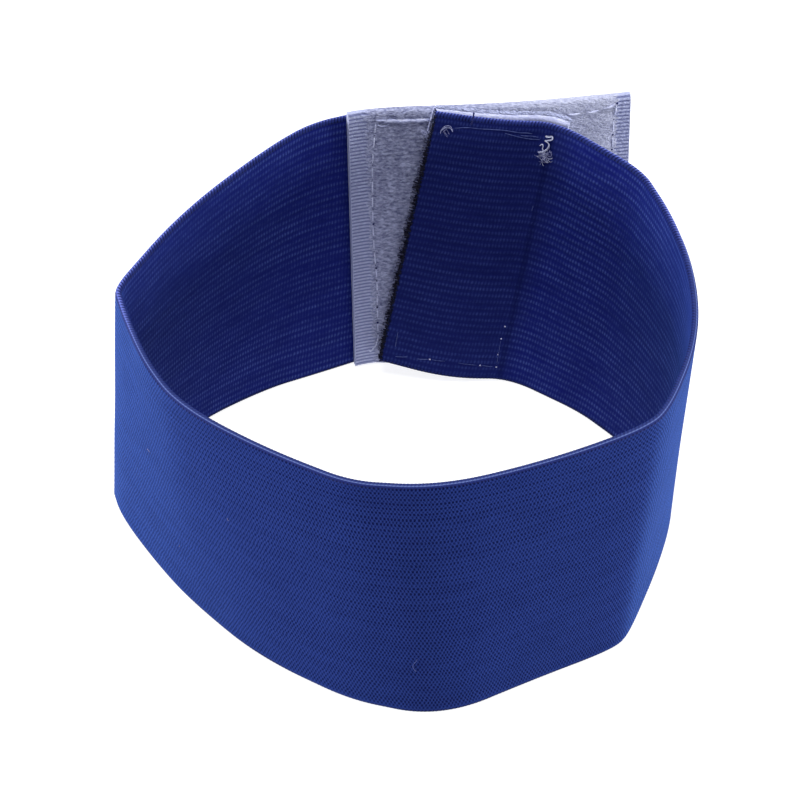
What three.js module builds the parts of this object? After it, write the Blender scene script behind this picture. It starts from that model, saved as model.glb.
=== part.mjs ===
// Fabric armband: one wide strip of woven elastic bent into a loop and closed on itself. A strip of soft loop
// tape is sewn inside the outer end, and a strip of hook tape outside the tail that lies within it. The
// loop stands on its lower edge with soft folds in it, open at both ends for the arm.
// Millimetres, +Z up. The closure is at the back, +Y, and the origin is on the floor under the loop's middle.

import * as THREE from 'three';

// Driving dimensions
const BAND_WIDTH = 60;
const ELASTIC_THICKNESS = 1.2;
const SEAM_GAP = 0.3;
const EDGE_ROUNDING = 0.2;
const FACET_LENGTH = 2.5;
const SHORTEST_FACET = 0.5;

const LOOP_TAPE = { width: 53.3, thickness: 1.4, raised: 1.5, pastElastic: 0.6 };
const HOOK_TAPE = { width: 26.2, thickness: 1, raisedAtStart: 0.8, raisedAtTail: 0.1 };

const COLOURS = { elastic: 0x20307a, loopTape: 0x9498c0, hookTape: 0xb4b8d4 };

// The strip's middle surface, a row for each fold from the outer end round to the tail. Its foot and rim are
// polygons seen from above, lift is the foot's height over the floor, and soft is how much of the runs
// beside the fold is bent: 0 is a crease and 0.5 bends them all the way.
const FOLDS = [
  { at: 'outer end',          foot: [42.5, 44],       rim: [40, 53.5],       lift: 0,    soft: 0 },
  { at: 'tape middle',        foot: [17.5, 40],       rim: [17, 49.3],       lift: 0,    soft: 0.5 },
  { at: 'tape edge',          foot: [-6.5, 40.4],     rim: [-8.5, 46.9],     lift: 0,    soft: 0.4 },
  { at: 'back left',          foot: [-18.4, 35.1],    rim: [-18.6, 42.9],    lift: 0,    soft: 0.4 },
  { at: 'left shoulder',      foot: [-28.4, 30.7],    rim: [-26.5, 35.2],    lift: 0,    soft: 0.5 },
  { at: 'left wall',          foot: [-42.5, 20.2],    rim: [-40.8, 17.7],    lift: 0,    soft: 0.5 },
  { at: 'left corner',        foot: [-55, 4.3],       rim: [-50.8, -0.6],    lift: 0,    soft: 0.2 },
  { at: 'past left corner',   foot: [-52.3, -2.2],    rim: [-48.6, -7.5],    lift: 0,    soft: 0.5 },
  { at: 'front left wall',    foot: [-43.5, -15.2],   rim: [-44.2, -18.3],   lift: 0,    soft: 0.5 },
  { at: 'front left fold',    foot: [-36.6, -23.3],   rim: [-38, -27.3],     lift: 0,    soft: 0.5 },
  { at: 'front left',         foot: [-24.7, -34.3],   rim: [-24.1, -36.3],   lift: 0,    soft: 0.5 },
  { at: 'front fold',         foot: [-8.6, -43.3],    rim: [-9.1, -43.4],    lift: 0,    soft: 0.3 },
  { at: 'front belly',        foot: [7.5, -46.6],     rim: [5.5, -43.8],     lift: 0,    soft: 0.5 },
  { at: 'front right',        foot: [24.2, -37.4],    rim: [22, -38.2],      lift: 0,    soft: 0.5 },
  { at: 'right corner',       foot: [37.5, -30.8],    rim: [37.5, -30.8],    lift: 0,    soft: 0.5 },
  { at: 'past right corner',  foot: [40.6, -27.7],    rim: [43.2, -25.8],    lift: 0,    soft: 0.4 },
  { at: 'right wall',         foot: [48, -8],         rim: [49.3, -8.5],     lift: 0,    soft: 0.5 },
  { at: 'right belly',        foot: [50.5, 6],        rim: [49.5, 8],        lift: 0,    soft: 0.5 },
  { at: 'right shoulder',     foot: [42.7, 18.6],     rim: [45.5, 21.8],     lift: 0,    soft: 0.4 },
  { at: 'back right fold',    foot: [34.2, 26.7],     rim: [41.3, 33.1],     lift: 0,    soft: 0.3 },
  { at: 'tail bend',          foot: [20.5, 35],       rim: [26.8, 46.1],     lift: 0,    soft: 0.35 },
  { at: 'tail middle',        foot: [8, 33.6],        rim: [15.5, 44.7],     lift: 1.2,  soft: 0.5 },
  { at: 'tail end',           foot: [-5.4, 35.6],     rim: [4, 43.7],        lift: 3.7,  soft: 0 },
];

// Corner points of one edge of the strip, with the rim as far above the foot as the band's width lets it be.
function footCorner(fold) {
  return new THREE.Vector3(fold.foot[0], fold.foot[1], fold.lift);
}

function rimCorner(fold) {
  const across = Math.hypot(fold.rim[0] - fold.foot[0], fold.rim[1] - fold.foot[1]);
  const rise = Math.sqrt(BAND_WIDTH ** 2 - across ** 2);
  return new THREE.Vector3(fold.rim[0], fold.rim[1], fold.lift + rise);
}

// A point of a polygon whose corners are rounded by parabolas; turn counts corners, with parts between them.
function pointOnEdge(corners, turn) {
  const nearest = Math.round(turn);
  const offset = turn - nearest;
  const corner = corners[nearest];
  const soft = FOLDS[nearest].soft;
  const before = corners[Math.max(nearest - 1, 0)];
  const after = corners[Math.min(nearest + 1, corners.length - 1)];
  if (Math.abs(offset) >= soft) {
    return corner.clone().lerp(offset < 0 ? before : after, Math.abs(offset));
  }
  const share = (offset + soft) / (2 * soft);
  const bendStart = corner.clone().lerp(before, soft);
  const bendEnd = corner.clone().lerp(after, soft);
  return bendStart.lerp(corner, share).lerp(corner.clone().lerp(bendEnd, share), share);
}

const footCorners = FOLDS.map(footCorner);
const rimCorners = FOLDS.map(rimCorner);

// A point of the middle surface, height millimetres up from the foot.
function pointOnBand(turn, height) {
  return pointOnEdge(footCorners, turn).lerp(pointOnEdge(rimCorners, turn), height / BAND_WIDTH);
}

// The band's length is measured halfway up, so that a place on it can be given in millimetres.
const LENGTH_SAMPLES = 40;
const lastTurn = FOLDS.length - 1;
const measured = [{ turn: 0, length: 0 }];
for (let i = 1; i <= lastTurn * LENGTH_SAMPLES; i += 1) {
  const turn = i / LENGTH_SAMPLES;
  const previous = measured[measured.length - 1];
  const step = pointOnBand(turn, BAND_WIDTH / 2).distanceTo(pointOnBand(previous.turn, BAND_WIDTH / 2));
  measured.push({ turn, length: previous.length + step });
}
const bandLength = measured[measured.length - 1].length;

function turnAt(length) {
  const next = measured.findIndex((mark) => mark.length >= length);
  if (next <= 0) return next < 0 ? lastTurn : 0;
  const a = measured[next - 1];
  const b = measured[next];
  return THREE.MathUtils.mapLinear(length, a.length, b.length, a.turn, b.turn);
}

// The level direction that points out of the loop.
function outwardAt(turn) {
  const nudge = 0.02;
  const before = pointOnBand(Math.max(turn - nudge, 0), BAND_WIDTH / 2);
  const after = pointOnBand(Math.min(turn + nudge, lastTurn), BAND_WIDTH / 2);
  const along = after.sub(before);
  return new THREE.Vector3(along.y, -along.x, 0).normalize();
}

// Lengths at which a strip bends. Every strip uses the same ones between its ends, so that the facets of
// neighbours lie side by side.
function stations(from, to) {
  const lengths = [from];
  for (let n = Math.ceil(from / FACET_LENGTH); n * FACET_LENGTH < to; n += 1) {
    const far = n * FACET_LENGTH - from > SHORTEST_FACET && to - n * FACET_LENGTH > SHORTEST_FACET;
    if (far) lengths.push(n * FACET_LENGTH);
  }
  return [...lengths, to];
}

// A closed strip that follows the band from one length to another, from low to high across it, and from
// inner to outer through it, measured from the middle surface. Its long edges are slightly rounded, and
// climb is how much higher it ends than it starts.
function stripGeometry({ from, to, low, high, inner, outer, climb = 0 }) {
  const r = EDGE_ROUNDING;
  const section = [
    { height: low, depth: inner + r },
    { height: low, depth: outer - r },
    { height: low + r, depth: outer },
    { height: high - r, depth: outer },
    { height: high, depth: outer - r },
    { height: high, depth: inner + r },
    { height: high - r, depth: inner },
    { height: low + r, depth: inner },
  ];
  const lengths = stations(from, to);
  const positions = [];
  for (const length of lengths) {
    const turn = turnAt(length);
    const outward = outwardAt(turn);
    const climbed = (climb * (length - from)) / (to - from);
    for (const corner of section) {
      const point = pointOnBand(turn, corner.height + climbed).addScaledVector(outward, corner.depth);
      positions.push(point.x, point.y, point.z);
    }
  }
  const count = section.length;
  const steps = lengths.length - 1;
  const faces = [];
  // Both faces of the strip are cut along the same diagonals, so that it keeps its thickness where it twists.
  for (let i = 0; i < steps; i += 1) {
    for (let k = 0; k < count; k += 1) {
      const a = i * count + k;
      const b = i * count + ((k + 1) % count);
      const goesUp = section[(k + 1) % count].height > section[k].height;
      if (goesUp) faces.push(a, a + count, b, b, a + count, b + count);
      else faces.push(a, a + count, b + count, a, b + count, b);
    }
  }
  for (let k = 1; k < count - 1; k += 1) {
    const last = steps * count;
    faces.push(0, k, k + 1);
    faces.push(last, last + k + 1, last + k);
  }
  const geometry = new THREE.BufferGeometry();
  geometry.setAttribute('position', new THREE.Float32BufferAttribute(positions, 3));
  geometry.setIndex(faces);
  geometry.computeVertexNormals();
  return geometry;
}

function cloth(color, roughness) {
  return new THREE.MeshStandardMaterial({ color, roughness, metalness: 0 });
}

function piece(name, geometry, material) {
  const mesh = new THREE.Mesh(geometry, material);
  mesh.name = name;
  return mesh;
}

function elasticBand() {
  const half = ELASTIC_THICKNESS / 2;
  const geometry = stripGeometry({
    from: LOOP_TAPE.pastElastic, to: bandLength, low: 0, high: BAND_WIDTH, inner: -half, outer: half,
  });
  return piece('elastic_band', geometry, cloth(COLOURS.elastic, 0.85));
}

function loopTape() {
  const back = -(ELASTIC_THICKNESS / 2 + SEAM_GAP);
  const geometry = stripGeometry({
    from: 0,
    to: LOOP_TAPE.width,
    low: LOOP_TAPE.raised,
    high: BAND_WIDTH + LOOP_TAPE.raised,
    inner: back - LOOP_TAPE.thickness,
    outer: back,
  });
  return piece('loop_tape', geometry, cloth(COLOURS.loopTape, 0.95));
}

function hookTape() {
  const back = ELASTIC_THICKNESS / 2 + SEAM_GAP;
  const geometry = stripGeometry({
    from: bandLength - HOOK_TAPE.width,
    to: bandLength,
    low: HOOK_TAPE.raisedAtStart,
    high: BAND_WIDTH + HOOK_TAPE.raisedAtStart,
    inner: back,
    outer: back + HOOK_TAPE.thickness,
    climb: HOOK_TAPE.raisedAtTail - HOOK_TAPE.raisedAtStart,
  });
  return piece('hook_tape', geometry, cloth(COLOURS.hookTape, 0.8));
}

const armband = new THREE.Group();
armband.add(elasticBand(), loopTape(), hookTape());

// The loop's middle goes over the origin.
const middle = new THREE.Box3().setFromObject(armband).getCenter(new THREE.Vector3());
armband.position.set(-middle.x, -middle.y, 0);
armband.updateMatrixWorld(true);

export default armband;
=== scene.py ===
"""Looks of a blank elastic armband, standing as a loop on a pale floor.

Every piece of cloth and thread is modelled flat, as it would be cut and sewn: x is the length along the band,
y the height across it and z the depth through it, in millimetres. It is then bent round the same course of
folds that the solid follows, and that turns it into metres in the model's frame. Each point keeps its flat
place as an attribute, so that weave, ribs and pile follow the cloth.
"""
from __future__ import annotations

import logging
import math
import random
from bisect import bisect_left
from dataclasses import dataclass, field
from enum import Enum
from typing import Callable, Iterable, Sequence, TypeAlias

import bmesh
import bpy
import numpy as np
from mathutils import Matrix, Vector, noise

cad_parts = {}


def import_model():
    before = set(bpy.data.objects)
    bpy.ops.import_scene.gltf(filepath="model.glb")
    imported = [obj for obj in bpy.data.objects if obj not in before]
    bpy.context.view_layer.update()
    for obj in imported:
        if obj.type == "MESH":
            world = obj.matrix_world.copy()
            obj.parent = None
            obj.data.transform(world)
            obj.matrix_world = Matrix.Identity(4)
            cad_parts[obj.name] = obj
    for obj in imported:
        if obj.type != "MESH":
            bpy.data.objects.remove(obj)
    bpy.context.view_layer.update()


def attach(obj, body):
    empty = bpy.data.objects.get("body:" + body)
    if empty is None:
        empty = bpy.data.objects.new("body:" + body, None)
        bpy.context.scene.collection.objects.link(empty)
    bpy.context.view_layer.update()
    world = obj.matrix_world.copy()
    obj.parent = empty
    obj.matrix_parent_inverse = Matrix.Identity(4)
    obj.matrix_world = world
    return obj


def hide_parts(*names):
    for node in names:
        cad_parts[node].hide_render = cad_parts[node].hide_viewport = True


LOG = logging.getLogger("armband")
MM = 0.001
FLAT_PLACE = "flat_place"
FIBRES = "fibres"
PITS = "staggered_pits"
DASHES = "ribbed_dashes"
THREAD_SLANT = 0.06

Node = bpy.types.Node
Socket = bpy.types.NodeSocket
Piece = bpy.types.Object
Shape = bmesh.types.BMesh
Colour = tuple[float, float, float, float]
Number: TypeAlias = "float | Value"
Fade = tuple[float, float]
Line = Sequence[Sequence[float]]
Places = tuple[tuple[float, ...], ...]


def colour(red: int, green: int, blue: int) -> Colour:
    """Turns a screen colour into the linear one that the shader wants.

    Args:
        red: Red from 0 to 255.
        green: Green from 0 to 255.
        blue: Blue from 0 to 255.

    Returns:
        The linear colour with full alpha.
    """
    shares = [value / 255 for value in (red, green, blue)]
    linear = [s / 12.92 if s <= 0.04045 else ((s + 0.055) / 1.055) ** 2.4 for s in shares]
    return linear[0], linear[1], linear[2], 1.0


WHITE = colour(255, 255, 255)


class Face(Enum):
    """The two faces of a strip of cloth, as the sign of its depth."""

    INSIDE = -1
    OUTSIDE = 1


class Part(Enum):
    """The solids that the looks stand for, with their material slots."""

    ELASTIC = ("elastic_band", "woven_elastic")
    LOOP_TAPE = ("loop_tape", "loop_tape")
    HOOK_TAPE = ("hook_tape", "hook_tape")

    @property
    def node(self) -> str:
        """The solid's name in the frame."""
        return self.value[0]

    @property
    def slot(self) -> str:
        """The name of this solid's material slot."""
        return self.value[1]


@dataclass(frozen=True)
class Fold:
    """One fold of the band's middle surface, in millimetres.

    Its foot and rim are corners of polygons seen from above. Soft is how much of the runs beside the fold is
    bent: 0 is a crease and 0.5 bends them all the way.
    """

    at: str
    foot: tuple[float, float]
    rim: tuple[float, float]
    lift: float
    soft: float


FOLDS = (
    Fold("outer end", foot=(42.5, 44), rim=(40, 53.5), lift=0, soft=0),
    Fold("tape middle", foot=(17.5, 40), rim=(17, 49.3), lift=0, soft=0.5),
    Fold("tape edge", foot=(-6.5, 40.4), rim=(-8.5, 46.9), lift=0, soft=0.4),
    Fold("back left", foot=(-18.4, 34.8), rim=(-18.7, 43.4), lift=0, soft=0.4),
    Fold("left shoulder", foot=(-28.4, 30.3), rim=(-26.7, 35.8), lift=0, soft=0.5),
    Fold("left wall", foot=(-42.5, 20.2), rim=(-41.0, 18.3), lift=0, soft=0.5),
    Fold("left corner", foot=(-55, 3.6), rim=(-50.9, -0.1), lift=0, soft=0.2),
    Fold("past left corner", foot=(-52.8, -3.1), rim=(-48.6, -7.4), lift=0, soft=0.5),
    Fold("front left wall", foot=(-43.9, -15.8), rim=(-44.2, -18.1), lift=0, soft=0.5),
    Fold("front left fold", foot=(-36.9, -23.8), rim=(-38, -27.0), lift=0, soft=0.5),
    Fold("front left", foot=(-25.0, -34.8), rim=(-24.1, -36.0), lift=0, soft=0.5),
    Fold("front fold", foot=(-8.6, -43.5), rim=(-9.1, -43.0), lift=0, soft=0.3),
    Fold("front belly", foot=(7.5, -47.0), rim=(5.5, -43.5), lift=0, soft=0.5),
    Fold("front right", foot=(24.3, -37.9), rim=(22, -38.0), lift=0, soft=0.5),
    Fold("right corner", foot=(37.9, -31.2), rim=(37.6, -30.6), lift=0, soft=0.5),
    Fold("past right corner", foot=(41.2, -28.0), rim=(43.5, -25.7), lift=0, soft=0.4),
    Fold("right wall", foot=(48.7, -8), rim=(49.6, -8.5), lift=0, soft=0.5),
    Fold("right belly", foot=(51.2, 6), rim=(49.6, 8), lift=0, soft=0.5),
    Fold("right shoulder", foot=(42.7, 18.6), rim=(46.0, 22.1), lift=0, soft=0.4),
    Fold("back right fold", foot=(34.2, 26.7), rim=(41.6, 33.3), lift=0, soft=0.3),
    Fold("tail bend", foot=(20.5, 35), rim=(26.8, 46.1), lift=0, soft=0.35),
    Fold("tail middle", foot=(8, 33.6), rim=(15.5, 45.3), lift=1.2, soft=0.5),
    Fold("tail end", foot=(-5.4, 35.6), rim=(4, 44.2), lift=3.7, soft=0),
)


@dataclass(frozen=True)
class Station:
    """One place along the band: its foot, its rim, and the directions that lead outward and on."""

    foot: Vector
    rim: Vector
    outward: Vector
    along: Vector


@dataclass
class Course:
    """The way that the band takes round the loop, from the outer end to the tail.

    Middle is the solids' middle as seen from above, which is the origin of the model's frame.
    """

    width: float = 60.0
    middle: Vector = field(default_factory=lambda: Vector((-2.495, 4.0026, 0.0)))
    samples: int = 40
    folds: tuple[Fold, ...] = FOLDS

    def __post_init__(self) -> None:
        """Places the folds' corners and measures the band halfway up."""
        self.last = len(self.folds) - 1
        self.feet = [Vector((*fold.foot, fold.lift)) for fold in self.folds]
        self.rims = [self._rim_corner(fold) for fold in self.folds]
        self.known: dict[float, Station] = {}
        self.lengths = [0.0]
        before = self._on_band(0.0, self.width / 2)
        for step in range(1, self.last * self.samples + 1):
            here = self._on_band(step / self.samples, self.width / 2)
            self.lengths.append(self.lengths[-1] + (here - before).length)
            before = here

    @property
    def length(self) -> float:
        """The band's length from end to end."""
        return self.lengths[-1]

    def _rim_corner(self, fold: Fold) -> Vector:
        """The fold's corner on the rim, as high as the band's width lets it be."""
        across = math.dist(fold.foot, fold.rim)
        return Vector((*fold.rim, fold.lift + math.sqrt(self.width**2 - across**2)))

    def _on_edge(self, corners: Sequence[Vector], turn: float) -> Vector:
        """A point of a polygon whose corners are rounded by parabolas.

        Args:
            corners: The polygon's corners.
            turn: The corner's number, with parts for the runs between corners.

        Returns:
            The point in millimetres.
        """
        nearest = min(max(round(turn), 0), self.last)
        offset = turn - nearest
        corner = corners[nearest]
        soft = self.folds[nearest].soft
        before = corners[max(nearest - 1, 0)]
        after = corners[min(nearest + 1, self.last)]
        if abs(offset) >= soft:
            return corner.lerp(before if offset < 0 else after, abs(offset))
        share = (offset + soft) / (2 * soft)
        start = corner.lerp(before, soft)
        end = corner.lerp(after, soft)
        return start.lerp(corner, share).lerp(corner.lerp(end, share), share)

    def _on_band(self, turn: float, height: float) -> Vector:
        """A point of the middle surface, height millimetres up from the foot."""
        return self._on_edge(self.feet, turn).lerp(self._on_edge(self.rims, turn), height / self.width)

    def _turn(self, length: float) -> float:
        """The turn at which the band is that long."""
        after = min(max(bisect_left(self.lengths, length), 1), len(self.lengths) - 1)
        low, high = self.lengths[after - 1], self.lengths[after]
        return (after - 1 + (length - low) / (high - low)) / self.samples

    def station(self, length: float) -> Station:
        """The band's place at a length, carried straight on past its two ends."""
        key = round(length, 4)
        if key not in self.known:
            nudge = 0.02
            inside = min(max(length, 0.0), self.length)
            turn = self._turn(inside)
            before = self._on_band(max(turn - nudge, 0), self.width / 2)
            after = self._on_band(min(turn + nudge, self.last), self.width / 2)
            along = (after - before).normalized()
            outward = Vector((along.y, -along.x, 0)).normalized()
            past = along * (length - inside)
            foot = self._on_edge(self.feet, turn) + past
            rim = self._on_edge(self.rims, turn) + past
            self.known[key] = Station(foot, rim, outward, along)
        return self.known[key]

    def place(self, flat: Vector) -> Vector:
        """Bends a flat point round the loop.

        Args:
            flat: Length, height and depth in millimetres.

        Returns:
            The point in the model's frame, in metres.
        """
        at = self.station(flat.x)
        point = at.foot.lerp(at.rim, flat.y / self.width) + at.outward * flat.z
        return (point - self.middle) * MM


class Value:
    """A number that varies over the surface, which is reckoned with as a plain number is."""

    def __init__(self, wiring: Wiring, socket: Socket) -> None:
        """Takes the wiring that it belongs to and the socket that puts it out."""
        self.wiring = wiring
        self.socket = socket

    def __add__(self, other: Number) -> Value:
        """The sum of both."""
        return self.wiring.math("ADD", self, other)

    def __radd__(self, other: Number) -> Value:
        """The sum of both."""
        return self + other

    def __mul__(self, other: Number) -> Value:
        """The product of both."""
        return self.wiring.math("MULTIPLY", self, other)

    def __sub__(self, other: Number) -> Value:
        """This number less the other."""
        return self.wiring.math("SUBTRACT", self, other)

    def __rsub__(self, other: Number) -> Value:
        """The other number less this one."""
        return self.wiring.math("SUBTRACT", other, self)

    def __truediv__(self, other: Number) -> Value:
        """This number divided by the other."""
        return self.wiring.math("DIVIDE", self, other)

    def __abs__(self) -> Value:
        """This number without its sign."""
        return self.wiring.math("ABSOLUTE", self)

    def at_least(self, other: Number) -> Value:
        """The greater of both."""
        return self.wiring.math("MAXIMUM", self, other)

    def at_most(self, other: Number) -> Value:
        """The lesser of both."""
        return self.wiring.math("MINIMUM", self, other)

    def wave(self, period: Number) -> Value:
        """A cosine of this number that repeats after each period, from -1 to 1."""
        return self.wiring.math("COSINE", self / period * math.tau)

    def between(self, low: float, high: float) -> Value:
        """0 where this number is below low, 1 where it is above high, and smooth between them."""
        node = self.wiring.add("ShaderNodeMapRange", interpolation_type="SMOOTHSTEP")
        for label, value in (("Value", self), ("From Min", low), ("From Max", high)):
            self.wiring.feed(node.inputs[label], value)
        return self.wiring.output(node, "Result")


class Wiring:
    """Adds nodes to one node tree and joins them."""

    def __init__(self, tree: bpy.types.NodeTree) -> None:
        """Takes the tree to work in."""
        self.tree = tree

    def add(self, kind: str, **settings: object) -> Node:
        """A new node of that kind with its settings."""
        node = self.tree.nodes.new(kind)
        for name, value in settings.items():
            setattr(node, name, value)
        return node

    def feed(self, socket: Socket, value: object) -> None:
        """Links a socket to another, or sets its own value."""
        source = value.socket if isinstance(value, Value) else value
        if isinstance(source, Socket):
            self.tree.links.new(source, socket)
        else:
            socket.default_value = source

    def output(self, node: Node, label: str | int) -> Value:
        """The number that a node puts out under that label."""
        return Value(self, node.outputs[label])

    def math(self, operation: str, first: Number, second: Number = 0.0) -> Value:
        """The result of a Math node."""
        node = self.add("ShaderNodeMath", operation=operation)
        self.feed(node.inputs[0], first)
        self.feed(node.inputs[1], second)
        return self.output(node, 0)

    def blend(self, share: Number, first: object, second: object) -> Socket:
        """A mix of two colours."""
        node = self.add("ShaderNodeMix", data_type="RGBA")
        self.feed(node.inputs[0], share)
        self.feed(node.inputs[6], first)
        self.feed(node.inputs[7], second)
        return node.outputs[2]

    def grain(self, vector: Socket, scale: float, detail: float = 2.0) -> Value:
        """Soft noise from 0 to 1 on a vector."""
        node = self.add("ShaderNodeTexNoise")
        for label, value in (("Vector", vector), ("Scale", scale), ("Detail", detail)):
            self.feed(node.inputs[label], value)
        return self.output(node, "Fac")

    def flat_place(self) -> tuple[Socket, Value, Value, Value]:
        """The point's flat place: the whole vector, then its length, height and depth in millimetres."""
        place = self.add("ShaderNodeAttribute", attribute_name=FLAT_PLACE).outputs["Vector"]
        parts = self.add("ShaderNodeSeparateXYZ")
        self.feed(parts.inputs[0], place)
        return place, self.output(parts, "X"), self.output(parts, "Y"), self.output(parts, "Z")

    def drifted(self, slant: float) -> Value:
        """The length, leaning on by slant for each millimetre up and pushed to and fro as threads drift."""
        place, length, height, _ = self.flat_place()
        drift = (self.grain(place, scale=0.4) - 0.5) * 0.7
        return length + height * slant + drift

    def relief(self, height: Value, depth: float) -> Socket:
        """A normal raised by a height from 0 to 1, depth millimetres high."""
        node = self.add("ShaderNodeBump")
        for label, value in (("Strength", 1.0), ("Distance", depth * MM), ("Height", height)):
            self.feed(node.inputs[label], value)
        return node.outputs["Normal"]


Wire = Callable[..., dict[str, Value]]


def node_group(name: str, inputs: Iterable[str], wire: Wire) -> bpy.types.NodeTree:
    """Builds a shader node group once and hands it back on later calls.

    Args:
        name: The group's name.
        inputs: Names of its number inputs.
        wire: Works out the group's outputs by name from its inputs in their order.

    Returns:
        The node group.
    """
    known = bpy.data.node_groups.get(name)
    if known:
        return known
    tree = bpy.data.node_groups.new(name, "ShaderNodeTree")
    for label in inputs:
        tree.interface.new_socket(label, in_out="INPUT", socket_type="NodeSocketFloat")
    wiring = Wiring(tree)
    given = wiring.add("NodeGroupInput")
    results = wire(*(wiring.output(given, label) for label in inputs))
    for label in results:
        tree.interface.new_socket(label, in_out="OUTPUT", socket_type="NodeSocketFloat")
    out = wiring.add("NodeGroupOutput")
    for label, value in results.items():
        wiring.feed(out.inputs[label], value)
    return tree


def grouped(w: Wiring, name: str, wire: Wire, values: dict[str, Number]) -> Node:
    """Adds a node that holds a node group.

    Args:
        w: The wiring to add it to.
        name: The group's name.
        wire: Works out the group's outputs.
        values: What goes into each of its inputs.

    Returns:
        The node.
    """
    node = w.add("ShaderNodeGroup", node_tree=node_group(name, values, wire))
    for label, value in values.items():
        w.feed(node.inputs[label], value)
    return node


def staggered_pits(length: Value, height: Value, pick: Value, course: Value,
                   uneven: Value) -> dict[str, Value]:
    """Rows of small pits, each row half a pick on from its neighbours and every other row darker."""
    picks = length.wave(pick)
    rows = height.wave(course * 2.0)
    lattice = picks * rows
    dark = lattice - (rows + picks * 0.6) * uneven + height.wave(course) * 0.15
    return {"Pit": dark.between(-0.4, 0.8), "Thread": (lattice * -1.0).between(-1.0, 1.0)}


def ribbed_dashes(length: Value, height: Value, pick: Value, rib: Value) -> dict[str, Value]:
    """Lengthwise ribs whose crests are broken into dashes by the picks."""
    picks = length.wave(pick).between(-0.6, 0.9)
    crest = height.wave(rib).between(-0.5, 1.0)
    return {"Dash": (0.2 + crest * 0.8) * (0.22 + picks * 0.78)}


def fibres(length: Value, height: Value, depth: Value, along: Value, across: Value) -> dict[str, Value]:
    """Matted fibres, which are patches of noise drawn out along the band."""
    w = length.wiring
    place = w.add("ShaderNodeCombineXYZ")
    for socket, value in zip(place.inputs, (length * along, height * across, depth * across)):
        w.feed(socket, value)
    return {"Fibre": w.grain(place.outputs[0], scale=1.0, detail=4.0).between(0.28, 0.72)}


@dataclass(frozen=True)
class Finish:
    """A finish with its own shader, and what all finishes share."""

    name: str
    roughness: float = 0.8
    specular: float = 0.2
    sheen: float = 0.0
    sheen_roughness: float = 0.4
    sheen_tint: Colour = WHITE

    def material(self) -> bpy.types.Material:
        """The material, built once."""
        known = bpy.data.materials.get(self.name)
        if known:
            return known
        material = bpy.data.materials.new(self.name)
        material.use_nodes = True
        material.node_tree.nodes.clear()
        wiring = Wiring(material.node_tree)
        shader = wiring.add("ShaderNodeBsdfPrincipled")
        settings = {"Roughness": self.roughness, "Specular IOR Level": self.specular,
                    "Sheen Weight": self.sheen, "Sheen Roughness": self.sheen_roughness,
                    "Sheen Tint": self.sheen_tint}
        for label, value in settings.items():
            wiring.feed(shader.inputs[label], value)
        surface = wiring.add("ShaderNodeOutputMaterial")
        wiring.feed(surface.inputs["Surface"], shader.outputs["BSDF"])
        self.wire(wiring, shader)
        return material

    def wire(self, w: Wiring, shader: Node) -> None:
        """Joins the finish's own nodes to the shader."""
        raise NotImplementedError

    def matted(self, w: Wiring, along: float, across: float) -> Value:
        """Matted fibre from 0 to 1, with that many patches in each millimetre along and across."""
        _, length, height, depth = w.flat_place()
        values = {"Length": length, "Height": height, "Depth": depth, "Along": along, "Across": across}
        return w.output(grouped(w, FIBRES, fibres, values), "Fibre")


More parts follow.
